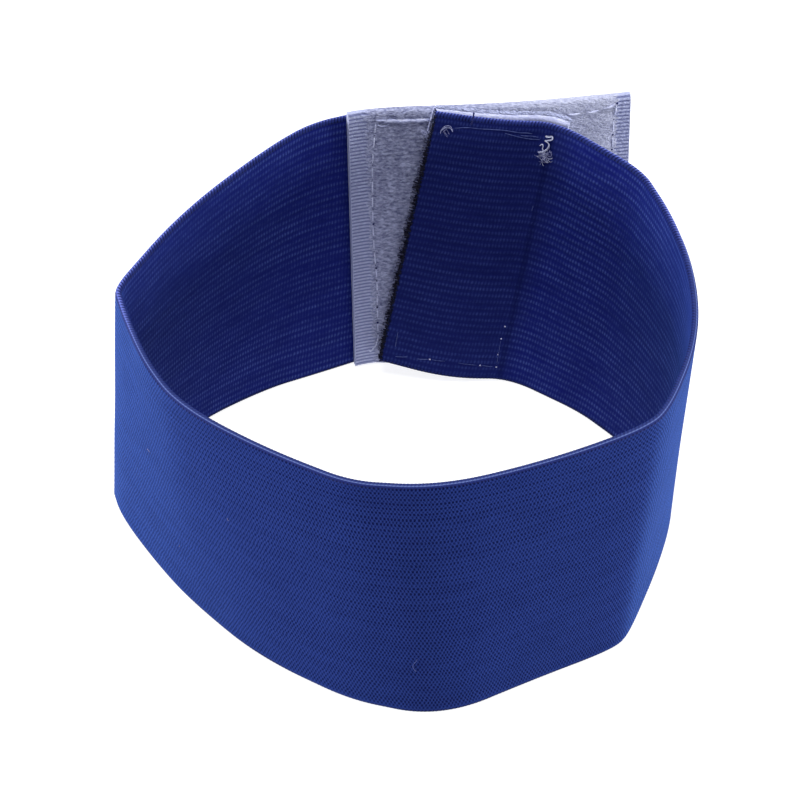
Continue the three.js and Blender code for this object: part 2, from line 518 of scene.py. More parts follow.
@dataclass(frozen=True)
class WovenElastic(Finish):
    """Woven elastic: pits between slanting threads outside, ribs of fine dashes inside.

    Sizes are in millimetres. A fade says where something starts and where it is complete.
    """

    width: float = 60.0
    length: float = 334.0
    pick: float = 0.65
    course: float = 0.73
    slant: float = THREAD_SLANT
    thread: Colour = colour(19, 33, 94)
    crest: Colour = colour(34, 51, 116)
    # Painted sheen: threads are painted towards this paler blue where the face is seen edge-on, faded in over
    # this range, up to this share.
    painted_sheen: Colour = colour(54, 88, 168)
    painted_sheen_fade: Fade = (0.45, 1.0)
    painted_sheen_share: float = 0.55
    pit: Colour = colour(0, 4, 56)
    pit_shade: float = 0.45
    deep_shade: float = 0.3
    worn_shade: float = 0.5
    deep_every: int = 6
    uneven_at_rim: float = 0.4
    foot_fade: Fade = (0.4, 2.2)
    tight_rows: float = 7.0
    tightness: float = 0.212
    dash: Colour = colour(60, 75, 142)
    groove: Colour = colour(15, 22, 98)
    # Painted shade on the inner face: darker grooves on the tail, and dashes toned down on the tail and at
    # the back by these shares.
    tail_shade_groove: Colour = colour(17, 24, 86)
    tail: float = 27.0
    tail_run: float = 6.0
    tail_shade: float = 0.5
    back: float = 76.0
    back_fade: Fade = (34.0, 20.0)
    back_shade: float = 0.1
    face_fade: Fade = (-0.3, 0.3)
    mottle_share: float = 0.12
    # Painted shade: a dark line along the crease on the tail's inner face, leaning a little as it rises.
    crease: float = 22.6
    crease_lean: float = 0.02
    crease_fade: Fade = (1.0, 0.2)
    crease_shade_share: float = 0.35
    # The cut end is painted near black: partly the cut yarns' own dark colour, partly painted shade of the
    # gap behind the tail's end.
    cut: Colour = colour(6, 7, 20)
    cut_run: float = 0.2
    ragged: float = 0.5
    outer_relief: float = 0.6
    relief_depth: float = 0.08

    def pit_strength(self, w: Wiring, height: Value) -> Value:
        """How dark the pits are: deeper in some rows and in some rubbed patches, and none at the foot."""
        deep_rows = (self.width - height).wave(self.course * self.deep_every).between(0.5, 1.0)
        worn_rows = self.matted(w, along=0.04, across=1.1)
        loose_pits = self.matted(w, along=1.1, across=1.0)
        strength = self.pit_shade + deep_rows * self.deep_shade + (worn_rows + loose_pits) * self.worn_shade
        return strength * height.between(*self.foot_fade)

    def outside(self, w: Wiring, length: Value, height: Value) -> tuple[Socket, Value]:
        """The colour and the relief of the outer face, whose courses lie closer below the rim, with painted
        sheen on the threads where the face is seen edge-on.
        """
        above = (height - (self.width - self.tight_rows)).at_least(0.0)
        group = grouped(w, PITS, staggered_pits, {
            "Length": length, "Height": height + above * self.tightness, "Pick": self.pick,
            "Course": self.course, "Uneven": height * (self.uneven_at_rim / self.width)})
        relief = w.output(group, "Thread")
        threads = w.blend(relief, self.thread, self.crest)
        # Painted sheen: the more edge-on the face is seen, the more the threads' crests are painted towards a
        # paler blue.
        facing = w.output(w.add("ShaderNodeLayerWeight"), "Facing")
        painted_light = facing.between(*self.painted_sheen_fade) * (0.1 + relief)
        threads = w.blend(painted_light * self.painted_sheen_share, threads, self.painted_sheen)
        shade = w.output(group, "Pit") * self.pit_strength(w, height)
        return w.blend(shade, threads, self.pit), relief

    def inside(self, w: Wiring, length: Value, height: Value) -> tuple[Socket, Value]:
        """The colour and the relief of the inner face, with painted shade on the tail and at the back:
        quieter dashes there, and darker grooves on the tail.
        """
        group = grouped(w, DASHES, ribbed_dashes, {
            "Length": length, "Height": height, "Pick": self.pick, "Rib": self.course * 2})
        wear_and_highlight = self.matted(w, along=0.1, across=0.7) * 0.7 + self.matted(w, along=1.0, across=1.2) * 0.5
        tail_start = self.length - self.tail
        on_tail = length.between(tail_start, tail_start + self.tail_run)
        back = abs(length - self.back).between(*self.back_fade)
        # Painted shade: the dashes are toned down on the tail and at the back, where less light reaches the
        # inner face.
        inner_shade = on_tail * self.tail_shade + back * self.back_shade
        dash = w.output(group, "Dash") * wear_and_highlight * (1.0 - inner_shade)
        groove = w.blend(on_tail, self.groove, self.tail_shade_groove)
        return w.blend(dash, groove, self.dash), dash

    def crease_shade(self, length: Value, height: Value, depth: Value) -> Value:
        """The painted shade of the crease on the tail's inner face, a dark line."""
        crease = self.length - self.crease - height * self.crease_lean
        on_crease = abs(length - crease).between(*self.crease_fade)
        return on_crease * depth.between(*reversed(self.face_fade))

    def wire(self, w: Wiring, shader: Node) -> None:
        """Mixes both faces by the depth in the cloth, and darkens the cut end."""
        _, length, height, depth = w.flat_place()
        drifted = w.drifted(self.slant)
        outer_colour, outer_relief = self.outside(w, drifted, height)
        inner_colour, inner_relief = self.inside(w, drifted, height)
        is_outside = depth.between(*self.face_fade)
        cloth = w.blend(is_outside, inner_colour, outer_colour)
        mottle = self.matted(w, along=0.12, across=0.3).between(0.35, 1.0)
        cloth = w.blend(mottle * self.mottle_share, cloth, self.pit)
        # Painted shade: the crease on the tail's inner face is darkened towards the pits' colour.
        cloth = w.blend(self.crease_shade(length, height, depth) * self.crease_shade_share, cloth, self.pit)
        # Near black at the cut end: partly the cut yarns' own colour, partly painted shade of the gap behind
        # it.
        ragged = length + self.matted(w, along=1.2, across=2.0) * self.ragged
        is_cut = ragged.between(self.length - self.cut_run, self.length + self.cut_run)
        w.feed(shader.inputs["Base Color"], w.blend(is_cut, cloth, self.cut))
        relief = outer_relief * (is_outside * self.outer_relief) + inner_relief * (1.0 - is_outside)
        w.feed(shader.inputs["Normal"], w.relief(relief, self.relief_depth))


@dataclass(frozen=True)
class WhippedRim(Finish):
    """The turns of weft round both edges: ticks inside, a painted highlight line on the rim with painted
    shade along its top, a row of pits below it, and painted shade at the foot.

    Fades are in millimetres: those of the corners are lengths along the band, that of the foot is a height,
    and the others are depths through the band, from its inside out.
    """

    bead: float = 0.6
    pick: float = 0.65
    middle: float = 30.0
    slant: float = THREAD_SLANT
    crest: Colour = colour(27, 38, 98)
    groove: Colour = colour(4, 9, 56)
    # Painted highlight colours of the rim, in front and at the back, and the painted shade along its top:
    wear_and_highlight: Colour = colour(88, 104, 158)
    bright: Colour = colour(106, 118, 200)
    rim_top_shade: Colour = colour(20, 28, 84)
    left_corner: Fade = (132.0, 112.0)
    right_corner: Fade = (262.0, 282.0)
    plain_inside: Fade = (0.12, -0.05)
    deep_inside: Fade = (-0.42, -0.56)
    near_inside: Fade = (-0.4, -0.2)
    near_outside: Fade = (0.16, 0.24)
    near_end: Fade = (0.38, 0.3)
    far_start: Fade = (-0.36, 0.1)
    far_ticks: Fade = (0.4, 0.1)
    row_start: Fade = (0.46, 0.56)
    # Painted shade where the foot meets the floor: the turns are darkened towards the grooves' colour below
    # this height, by up to this share.
    foot_fade: Fade = (0.8, 0.3)
    foot_shade: float = 0.7

    def turns(self, w: Wiring, groove: Value, depth: Value) -> Socket:
        """The colour of the turns, whose grooves are plain inside the band and faint outside."""
        uneven = 0.3 + self.matted(w, along=0.7, across=1.2) * 0.8
        faint = 0.12 + depth.between(*self.plain_inside) * uneven
        contrast = faint.at_least(depth.between(*self.deep_inside) * 0.8)
        return w.blend(groove * contrast, self.crest, self.groove)

    def highlight_line(self, groove: Value, depth: Value, back: Value) -> Value:
        """How strong the painted highlight on the rim is: in a line outside the top in front, and in ticks
        across it at the back.
        """
        beside = depth.between(*self.near_inside) * 0.15 + depth.between(*self.near_outside) * 0.9
        near = beside * depth.between(*self.near_end)
        ticks = (0.85 - groove * depth.between(*self.far_ticks)).at_least(0.0)
        far = depth.between(*self.far_start) * ticks
        return (near * (1.0 - back) + far * back) * (0.9 - groove * 0.3)

    def wire(self, w: Wiring, shader: Node) -> None:
        """Colours the turns, whose slant follows the depth, and paints a highlight line and shade along the
        rim's top, and shade at the foot.
        """
        _, length, height, depth = w.flat_place()
        swung = length + depth * (0.5 * self.pick / self.bead)
        groove = swung.wave(self.pick).between(-0.5, 0.9)
        off_middle = abs(height - self.middle)
        shoulder = off_middle.between(self.middle - 0.3, self.middle - 0.12)
        back = length.between(*self.left_corner).at_least(length.between(*self.right_corner))
        # Painted shade along the rim's very top.
        top = shoulder * abs(depth).between(0.18, 0.05)
        turns = w.blend(top * 0.6, self.turns(w, groove, depth), self.rim_top_shade)
        # Painted highlight: the rim's shoulder is painted paler, in a line in front and in ticks at the back.
        painted_light = shoulder * self.highlight_line(groove, depth, back)
        turns = w.blend(painted_light, turns, w.blend(back, self.wear_and_highlight, self.bright))
        row = depth.between(*self.row_start) * off_middle.between(self.middle - 0.3, self.middle - 0.45)
        pits = w.drifted(self.slant).wave(self.pick).between(0.3, -0.8)
        turns = w.blend(row * pits, turns, self.groove)
        # Painted shade at the foot, where the band stands on the floor.
        foot_painted_shade = height.between(*self.foot_fade) * self.foot_shade
        w.feed(shader.inputs["Base Color"], w.blend(foot_painted_shade, turns, self.groove))


@dataclass(frozen=True)
class NappedTape(Finish):
    """Loop tape: matted pile in the middle, and bare ribbed selvedges at both sides.

    Sizes are in millimetres. The pile is painted lighter towards the outer end, as painted light for the
    fuller light that falls there, over the span that its fade gives.
    """

    width: float = 53.3
    lean: float = 0.011
    rib: float = 0.8
    left_selvedge: float = 4.2
    right_selvedge: float = 2.9
    selvedge_run: float = 0.4
    ragged: float = 1.3
    margin: float = 0.15
    # Painted light: the pile is painted paler towards the outer end, where more light falls on the tape.
    lit_end_fade: Fade = (36.0, 14.0)
    relief_depth: float = 0.12
    light: Colour = colour(188, 193, 224)
    dark: Colour = colour(82, 87, 126)
    # Painted light: pile colours for the outer end, where more light falls.
    lit_end_light: Colour = colour(194, 198, 220)
    lit_end_dark: Colour = colour(154, 158, 188)
    bare: Colour = colour(178, 184, 217)
    furrow: Colour = colour(116, 122, 164)

    def bare_share(self, from_edge: Value, ragged: Value, selvedge: float) -> Value:
        """How bare the cloth is beside an edge, whose selvedge is that wide."""
        return (from_edge + ragged).between(selvedge, selvedge - self.selvedge_run)

    def wire(self, w: Wiring, shader: Node) -> None:
        """Mottles the pile, and draws the ribs of the selvedges and their smooth margins."""
        _, length, height, _ = w.flat_place()
        streaks = self.matted(w, along=0.9, across=2.0)
        curls = self.matted(w, along=1.5, across=2.8)
        # Painted light: the share of the paler pile towards the outer end.
        fresh = length.between(*self.lit_end_fade)
        dark = w.blend(fresh, self.dark, self.lit_end_dark)
        light = w.blend(fresh, self.light, self.lit_end_light)
        pile = w.blend(streaks * 0.45 + curls * 0.55, dark, light)
        from_left = self.width + height * self.lean - length
        ribs = height.wave(self.rib).between(-0.9, 0.4) * (0.65 + curls * 0.35)
        smooth = 1.0 - from_left.at_most(length).between(self.margin * 0.5, self.margin)
        selvedge = w.blend(ribs.at_least(smooth), self.furrow, self.bare)
        ragged = streaks * self.ragged - self.ragged / 2
        bare_left = self.bare_share(from_left, ragged, self.left_selvedge)
        bare_right = self.bare_share(length, ragged, self.right_selvedge)
        w.feed(shader.inputs["Base Color"], w.blend(bare_left.at_least(bare_right), pile, selvedge))
        w.feed(shader.inputs["Normal"], w.relief(streaks + curls, self.relief_depth))


@dataclass(frozen=True)
class Yarn(Finish):
    """Thread, yarn or hook of one colour with a faint grain."""

    light: Colour = colour(200, 205, 230)
    dark: Colour = colour(150, 155, 190)

    def wire(self, w: Wiring, shader: Node) -> None:
        """Grains the colour with fine fibres."""
        grain = self.matted(w, along=1.5, across=4.0)
        w.feed(shader.inputs["Base Color"], w.blend(grain, self.dark, self.light))


@dataclass(frozen=True)
class PaleFloor(Finish):
    """A plain pale floor that glows, as a light table does, so that shadows on it stay faint."""

    tone: Colour = colour(163, 164, 167)
    glow: float = 0.85

    def wire(self, w: Wiring, shader: Node) -> None:
        """Sets one even tone and its glow."""
        w.feed(shader.inputs["Base Color"], self.tone)
        w.feed(shader.inputs["Emission Color"], WHITE)
        w.feed(shader.inputs["Emission Strength"], self.glow)


BLUE_SHEEN = colour(86, 136, 238)
LOOP_PILE = NappedTape("loop_pile", roughness=0.95, specular=0.1)
HOOK_GROUND = Yarn("hook_ground", light=colour(214, 218, 244), dark=colour(166, 172, 210))
SEAM_PILE = Yarn("seam_pile", light=colour(186, 191, 220), dark=colour(124, 130, 170))
HOOK_WIRE = Yarn("hook_wire", roughness=0.4, specular=0.4, light=colour(96, 101, 140),
                 dark=colour(14, 15, 36))
PALE_THREAD = Yarn("pale_thread", light=colour(214, 218, 240), dark=colour(165, 170, 205))
FINE_THREAD = Yarn("fine_thread", light=colour(74, 86, 142), dark=colour(34, 46, 104))
TACK_THREAD = Yarn("tack_thread", light=colour(176, 182, 218), dark=colour(112, 118, 166))
LOOSE_FIBRE = Yarn("loose_fibre", light=colour(136, 140, 184), dark=colour(72, 78, 130))
NAVY_THREAD = Yarn("navy_thread", light=colour(34, 42, 104), dark=colour(12, 16, 50))
TUFT = Yarn("edge_tuft", light=colour(190, 194, 226), dark=colour(120, 126, 170))
# Near-black cut yarn ends: partly their own dark colour, partly painted shade of the gaps that they stick
# into.
CUT_YARN = Yarn("cut_yarn", light=colour(20, 20, 46), dark=colour(3, 3, 12))
FLOOR = PaleFloor("pale_floor", roughness=0.9)


def gathered(parts: Sequence[Shape]) -> Shape:
    """Puts several bmeshes into one and frees them."""
    whole = bmesh.new()
    for part in parts:
        mesh = bpy.data.meshes.new("part")
        part.to_mesh(mesh)
        part.free()
        whole.from_mesh(mesh)
        bpy.data.meshes.remove(mesh)
    return whole


def scattered(template: Shape, places: Sequence[Matrix]) -> Shape:
    """Copies of one small shape in many places, as one bmesh.

    Args:
        template: The shape, which is freed.
        places: Where each copy goes.

    Returns:
        All the copies.
    """
    pattern = bpy.data.meshes.new("pattern")
    template.to_mesh(pattern)
    template.free()
    whole = bmesh.new()
    for place in places:
        copy = pattern.copy()
        copy.transform(place)
        whole.from_mesh(copy)
        bpy.data.meshes.remove(copy)
    bpy.data.meshes.remove(pattern)
    return whole


def tube(path: Sequence[Vector], radius: float, sides: int = 6, taper: float = 1.0) -> Shape:
    """A closed tube along a path, made by drawing a ring of vertices from point to point.

    Args:
        path: The points that its middle follows.
        radius: Its radius at the start.
        sides: The number of its sides.
        taper: Its radius at the end, as a share of the radius at the start.

    Returns:
        The tube as a bmesh.
    """
    bm = bmesh.new()
    ring = bmesh.ops.create_circle(bm, cap_ends=True, radius=1.0, segments=sides)["verts"]
    unit = [vert.co.copy() for vert in ring]
    last = len(path) - 1
    for step, point in enumerate(path):
        ahead = path[min(step + 1, last)] - path[max(step - 1, 0)]
        turn = ahead.to_track_quat("Z", "Y").to_matrix()
        scale = radius * (1 + (taper - 1) * step / last)
        if step:
            edges = {edge for vert in ring for edge in vert.link_edges if edge.other_vert(vert) in ring}
            grown = bmesh.ops.extrude_edge_only(bm, edges=list(edges))["geom"]
            fresh = [item for item in grown if isinstance(item, bmesh.types.BMVert)]
            ring = [min(fresh, key=lambda new, old=old: (new.co - old.co).length) for old in ring]
        for vert, corner in zip(ring, unit):
            vert.co = point + turn @ (corner * scale)
    bmesh.ops.contextual_create(bm, geom=ring)
    return bm


def smooth_path(points: Line, parts: int = 6) -> list[Vector]:
    """A smooth line through a few points.

    Args:
        points: The points, in millimetres of length, height and depth.
        parts: How many steps each run between two points takes.

    Returns:
        The line's points.
    """
    knots = [Vector((*point, 0.0)[:3]) for point in points]
    knots = [2 * knots[0] - knots[1], *knots, 2 * knots[-1] - knots[-2]]
    line = []
    for a, b, c, d in zip(knots, knots[1:], knots[2:], knots[3:]):
        for step in range(parts):
            t = step / parts
            line.append(0.5 * (2 * b + (c - a) * t + (2 * a - 5 * b + 4 * c - d) * t**2
                               + (3 * b - a - 3 * c + d) * t**3))
    return [*line, knots[-2]]


def walked(line: Sequence[Vector], distances: Sequence[float]) -> list[Vector]:
    """Points of a line at distances from its start."""
    reached = [0.0]
    for before, after in zip(line, line[1:]):
        reached.append(reached[-1] + (after - before).length)
    points = []
    for distance in distances:
        last = min(max(bisect_left(reached, distance), 1), len(line) - 1)
        share = (distance - reached[last - 1]) / (reached[last] - reached[last - 1])
        points.append(line[last - 1].lerp(line[last], share))
    return points


@dataclass
class Bench:
    """Where flat pieces are bent round the course and made part of the scene."""

    course: Course

    def bend(self, bm: Shape) -> None:
        """Bends a flat bmesh round the loop, in place, keeping its flat places as an attribute."""
        layer = bm.verts.layers.float_vector.new(FLAT_PLACE)
        for vert in bm.verts:
            vert[layer] = vert.co
            vert.co = self.course.place(vert.co)

    def piece(self, name: str, bm: Shape, finish: Finish) -> Piece:
        """Makes a bent bmesh a piece of the armband.

        Args:
            name: The piece's name.
            bm: The bent mesh, which is freed.
            finish: What it is dressed in.

        Returns:
            The new object.
        """
        bmesh.ops.recalc_face_normals(bm, faces=bm.faces)
        for face in bm.faces:
            face.smooth = True
        mesh = bpy.data.meshes.new(name)
        bm.to_mesh(mesh)
        bm.free()
        mesh.materials.append(finish.material())
        made = bpy.data.objects.new(name, mesh)
        bpy.context.scene.collection.objects.link(made)
        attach(made, "root")
        LOG.info("%s: %d faces", name, len(mesh.polygons))
        return made

    def bent(self, name: str, bm: Shape, finish: Finish, part: Part) -> Piece:
        """Bends a flat bmesh and makes it a piece."""
        self.bend(bm)
        return self.piece(name, bm, finish)


@dataclass(frozen=True)
class Strip:
    """A closed strip of cloth with a relief on each face, in millimetres of its flat state.

    Climb is how much higher it ends than it starts, and lean how far its end leans on for each millimetre up.
    Edges that turn by more than crisp, in radians, are shaded sharp.
    """

    start: float
    end: float
    low: float
    high: float
    inner: float
    outer: float
    column: float
    row: float
    climb: float = 0.0
    lean: float = 0.0
    crisp: float = 1.0

    def flat(self, relief: Callable[[float, float, Face], float]) -> Shape:
        """The strip as a flat slab.

        Args:
            relief: How far out of its face a point stands, from its length, its height and its face.

        Returns:
            The slab as a bmesh.
        """
        columns = round((self.end - self.start) / self.column)
        rows = round((self.high - self.low) / self.row)
        bm = bmesh.new()
        bmesh.ops.create_grid(bm, x_segments=columns, y_segments=rows, size=0.5)
        inner_verts = set(bm.verts)
        bmesh.ops.extrude_face_region(bm, geom=bm.faces[:], use_keep_orig=True)
        for vert in bm.verts:
            face = Face.INSIDE if vert in inner_verts else Face.OUTSIDE
            height = self.low + (vert.co.y + 0.5) * (self.high - self.low)
            length = self.start + (vert.co.x + 0.5) * (self.end - self.start + self.lean * height)
            depth = self.inner if face is Face.INSIDE else self.outer
            depth += face.value * relief(length, height, face)
            climbed = self.climb * (vert.co.x + 0.5)
            vert.co = Vector((length, height + climbed, depth))
        bmesh.ops.recalc_face_normals(bm, faces=bm.faces)
        for edge in bm.edges:
            edge.smooth = edge.calc_face_angle(0.0) < self.crisp
        return bm


@dataclass
class Sewing:
    """Needlework on one face of a piece, placed by length and height."""

    bench: Bench
    part: Part
    face: Face
    surface: Callable[[float, float], float]
    stitch: float = 3.5
    shown: float = 0.84
    sunk: float = 0.22
    steps: int = 6

    def on_face(self, point: Vector, proud: float) -> Vector:
        """A point that far out of the face."""
        return Vector((point.x, point.y, self.surface(point.x, point.y) + self.face.value * proud))

    def laid(self, places: Line, radius: float, proud: float) -> Shape:
        """A loose thread that lies on the face and ends in it.

        Args:
            places: Lengths and heights that it passes.
            radius: The thread's radius.
            proud: How far its middle stands out.

        Returns:
            The thread as a flat bmesh.
        """
        line = smooth_path(places)
        last = len(line) - 1
        lifts = [proud - self.sunk * max(0.0, 1 - min(step, last - step) / 1.5) for step in range(last + 1)]
        return tube([self.on_face(point, lift) for point, lift in zip(line, lifts)], radius, sides=5)

    def divided(self, places: Line) -> tuple[list[Vector], float, int]:
        """A smooth line through places, its length and the number of stitches along it."""
        line = smooth_path(places)
        whole = sum((after - before).length for before, after in zip(line, line[1:]))
        return line, whole, max(1, round(whole / self.stitch))

    def seam(self, places: Line, radius: float, proud: float) -> Shape:
        """Stitches along a line, each of which comes up, crosses and goes down again.

        Args:
            places: Lengths and heights that the line passes.
            radius: The thread's radius.
            proud: How far the middle of a stitch stands out.

        Returns:
            The stitches as a flat bmesh.
        """
        line, whole, count = self.divided(places)
        stitches = []
        for number in range(count):
            first = whole * (number + (1 - self.shown) / 2) / count
            shares = [step / self.steps for step in range(self.steps + 1)]
            steps = [first + whole / count * self.shown * share for share in shares]
            lifts = [math.sin(math.pi * share) * (proud + self.sunk) - self.sunk for share in shares]
            points = [self.on_face(point, lift) for point, lift in zip(walked(line, steps), lifts)]
            stitches.append(tube(points, radius))
        return gathered(stitches)

    def knots(self, places: Line, size: float) -> Shape:
        """Small knots or needle holes, as flattened beads in the face."""
        template = bmesh.new()
        bmesh.ops.create_icosphere(template, subdivisions=2, radius=size)
        flattened = Matrix.Diagonal((1.0, 1.0, 0.5, 1.0))
        centres = [self.on_face(Vector((*place, 0)), 0.0) for place in places]
        return scattered(template, [Matrix.Translation(centre) @ flattened for centre in centres])

    def ends(self, places: Line) -> list[Vector]:
        """The places where the stitches of a line go through."""
        line, whole, count = self.divided(places)
        return [point.xy for point in walked(line, [whole * number / count for number in range(count + 1)])]

    def fuzz(self, centre: tuple[float, float], reach: float, count: int, seed: int,
             radius: float = 0.045) -> Shape:
        """A tangle of short curled fibres.

        Args:
            centre: Its length and height.
            reach: How far the fibres go.
            count: How many there are.
            seed: Starts their random forms.
            radius: Their radius.

        Returns:
            The tangle as a flat bmesh.
        """
        picker = random.Random(seed)
        steps = 4
        spread = reach * 0.35
        curls = []
        for _ in range(count):
            angle = picker.uniform(0, math.tau)
            bow = picker.uniform(-1.2, 1.2)
            size = reach * picker.uniform(0.35, 1.0)
            point = Vector((centre[0] + picker.gauss(0, spread), centre[1] + picker.gauss(0, spread)))
            line = []
            for step in range(steps + 1):
                heading = angle + bow * step / 2
                point = point + Vector((math.cos(heading), math.sin(heading))) * size / steps
                proud = picker.uniform(0.05, 0.15) + 0.3 * math.sin(math.pi * step / steps)
                line.append(self.on_face(point.to_3d(), proud))
            curls.append(tube(line, radius, sides=4))
        return gathered(curls)

    def dress(self, name: str, parts: Sequence[Shape], finish: Finish) -> Piece:
        """Makes flat needlework one piece."""
        return self.bench.bent(name, gathered(parts), finish, self.part)


@dataclass(frozen=True)
class Lamp:
    """A square soft light that looks at the loop's middle, with its place and its side in metres."""

    name: str
    place: tuple[float, float, float]
    side: float
    watts: float


LAMPS = (
    Lamp("light_above", place=(0.0, 0.12, 1.2), side=0.8, watts=17.0),
    Lamp("light_left", place=(-1.1, -0.1, 0.16), side=0.26, watts=11.0),
    Lamp("light_right", place=(1.1, -0.05, 0.16), side=0.26, watts=8.4),
)


@dataclass
class Studio:
    """The camera, in millimetres and degrees, the lights, and the floor, whose half side is in metres."""

    course: Course
    target: Vector = field(default_factory=lambda: Vector((-1.2, 0.0, 32.0)))
    elevation: float = 48.4
    roll: float = 1.5
    distance: float = 500.0
    frame_width: int = 800
    focal_pixels: float = 2757.5
    sensor: float = 36.0
    floor_half: float = 3.0
    room: Colour = colour(250, 251, 255)
    room_strength: float = 0.45

    def camera(self) -> None:
        """Sets the camera at the photographed angle."""
        tilt = math.radians(self.elevation)
        ahead = Vector((0, math.cos(tilt), -math.sin(tilt)))
        position = (self.target - self.course.middle - self.distance * ahead) * MM
        level_right = Vector((1, 0, 0))
        level_up = level_right.cross(ahead)
        turn = math.radians(self.roll)
        right = math.cos(turn) * level_right + math.sin(turn) * level_up
        up = math.cos(turn) * level_up - math.sin(turn) * level_right
        data = bpy.data.cameras.new("camera")
        data.sensor_width = self.sensor
        data.lens = self.focal_pixels * self.sensor / self.frame_width
        data.clip_start = 0.01
        data.clip_end = 10.0
        made = bpy.data.objects.new("camera", data)
        rotation = Matrix((right, up, -ahead)).transposed()
        made.matrix_world = Matrix.Translation(position) @ rotation.to_4x4()
        bpy.context.scene.collection.objects.link(made)
        bpy.context.scene.camera = made

    def floor(self) -> None:
        """Lays the pale floor."""
        bm = bmesh.new()
        bmesh.ops.create_grid(bm, x_segments=4, y_segments=4, size=self.floor_half)
        mesh = bpy.data.meshes.new("floor")
        bm.to_mesh(mesh)
        bm.free()
        mesh.materials.append(FLOOR.material())
        made = bpy.data.objects.new("floor", mesh)
        bpy.context.scene.collection.objects.link(made)

    def hang(self, lamp: Lamp) -> None:
        """Hangs one lamp and turns it to the loop's middle."""
        data = bpy.data.lights.new(lamp.name, "AREA")
        data.shape = "SQUARE"
        data.size = lamp.side
        data.energy = lamp.watts
        made = bpy.data.objects.new(lamp.name, data)
        position = Vector(lamp.place)
        turn = position.to_track_quat("Z", "Y").to_matrix().to_4x4()
        made.matrix_world = Matrix.Translation(position) @ turn
        bpy.context.scene.collection.objects.link(made)

    def lights(self) -> None:
        """Hangs a light above and one at each side, in an even pale room."""
        for lamp in LAMPS:
            self.hang(lamp)
        world = bpy.data.worlds.new("room")
        world.use_nodes = True
        background = world.node_tree.nodes["Background"]
        background.inputs["Color"].default_value = self.room
        background.inputs["Strength"].default_value = self.room_strength
        bpy.context.scene.world = world
        bpy.context.scene.view_settings.view_transform = "Standard"

    def build(self) -> None:
        """Sets up the whole studio."""
        self.camera()
        self.floor()
        self.lights()


